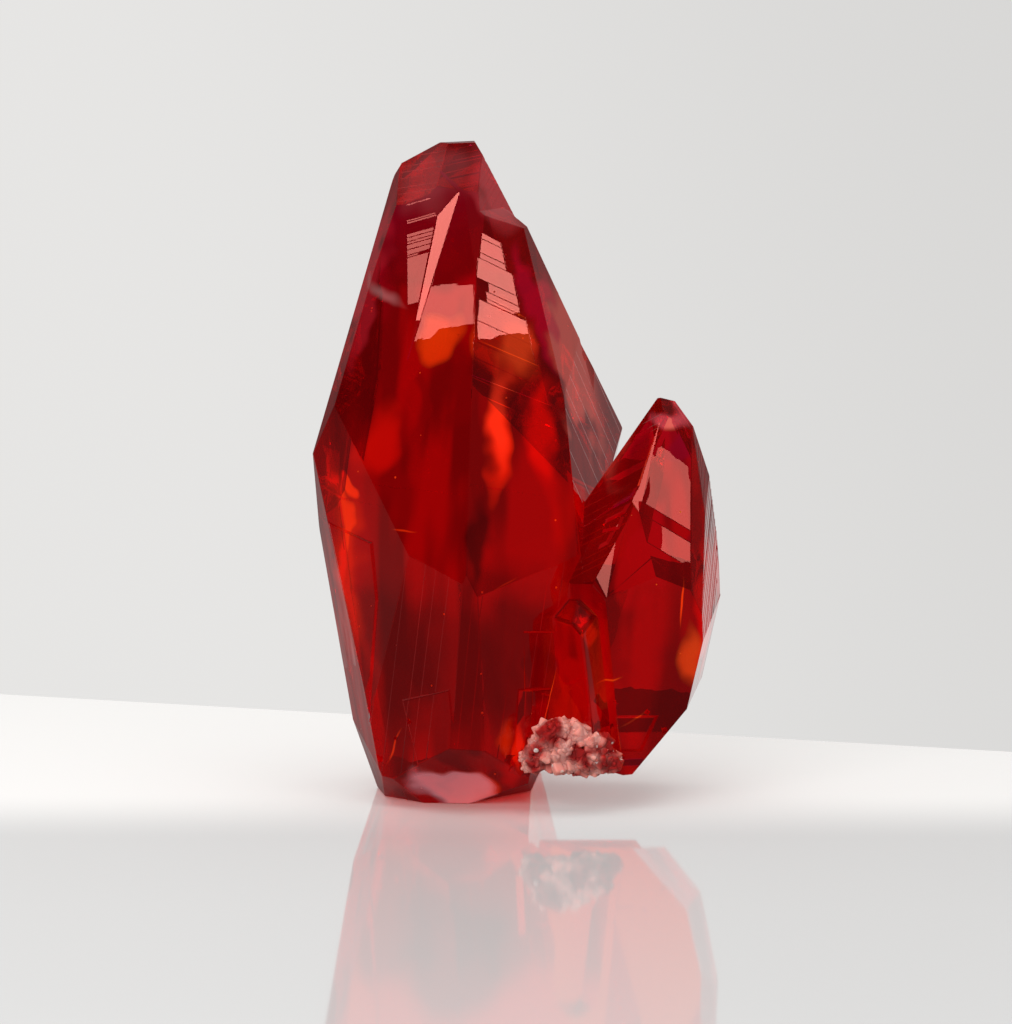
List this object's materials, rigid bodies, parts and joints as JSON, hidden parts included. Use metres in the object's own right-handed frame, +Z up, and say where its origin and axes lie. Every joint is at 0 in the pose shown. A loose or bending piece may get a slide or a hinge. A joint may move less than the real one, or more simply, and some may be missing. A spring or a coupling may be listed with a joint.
{
  "type": "rhodochrosite crystal specimen",
  "caption": "Clear deep red rhodochrosite: a tall steep-sided crystal with a shorter one and a small prism grown on its right flank, and a pale druse in the notch at their foot.",
  "frame": {"origin": "centre of the bounding box on the surface it stands on", "axes": "+Z up along the tall crystal, -Y towards the front that shows the proud layer and the growth steps, +X towards the shorter crystal"},
  "size_m": [0.0308, 0.023, 0.0491],
  "materials": {
    "red_crystal": "clear deep cherry red, polished growth faces with fine steps",
    "pale_druse": "cloudy pale pink, granular and wet-looking"
  },
  "bodies": {
    "root": {"crystal_group": "red_crystal", "pale_druse": "pale_druse"}
  },
  "joints": []
}
